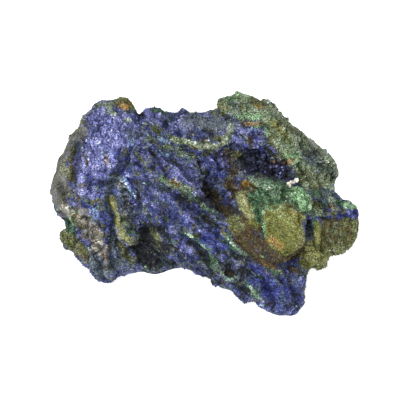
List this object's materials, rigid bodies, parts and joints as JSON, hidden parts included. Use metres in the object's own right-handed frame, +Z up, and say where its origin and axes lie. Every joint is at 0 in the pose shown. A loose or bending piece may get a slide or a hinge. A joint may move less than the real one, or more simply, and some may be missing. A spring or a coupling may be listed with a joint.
{
  "type": "azurite mineral specimen",
  "caption": "Craggy hand-sized rock of blue azurite crusts, green malachite and ochre limonite, with a crystal-lined hollow and a flat broken base.",
  "frame": {"origin": "middle of the bounding box's base, on the surface that the specimen lies on", "axes": "+X along the specimen's length, to the right as seen from its display side; +Y away from the display side; +Z up"},
  "size_m": [0.0717, 0.0519, 0.034],
  "materials": {
    "azurite_rock": "rough, granular, in patches of blue azurite, green malachite and ochre limonite",
    "azurite_crystal": "glassy dark blue crystals"
  },
  "bodies": {
    "root": {"azurite_rock": "azurite_rock", "vug_crystals": "azurite_crystal"}
  },
  "joints": []
}
